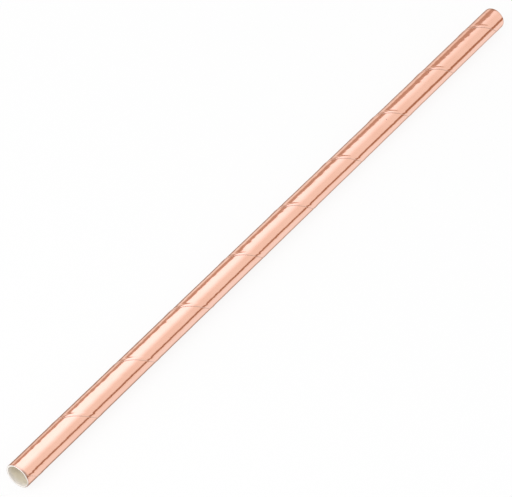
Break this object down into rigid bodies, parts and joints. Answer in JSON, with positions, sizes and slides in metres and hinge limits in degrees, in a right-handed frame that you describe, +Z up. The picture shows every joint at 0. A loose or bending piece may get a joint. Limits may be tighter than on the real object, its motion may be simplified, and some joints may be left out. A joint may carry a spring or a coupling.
{
  "type": "foil-wrapped drinking straw",
  "caption": "Straight paper drinking straw, open at both ends, with a rose-gold foil-faced strip wound round it in a lapped spiral.",
  "frame": {"origin": "on the surface that the straw lies on, under the middle of its length", "axes": "+X along the straw, from the end that the picture shows open to the far end; +Z up"},
  "size_m": [0.19, 0.0062, 0.0062],
  "materials": {
    "white_paper": "uncoated white paper",
    "rose_gold_foil": "smooth rose-gold metallic foil on paper"
  },
  "bodies": {
    "root": {"paper_tube": "white_paper", "foil_wrap": "rose_gold_foil"}
  },
  "joints": []
}
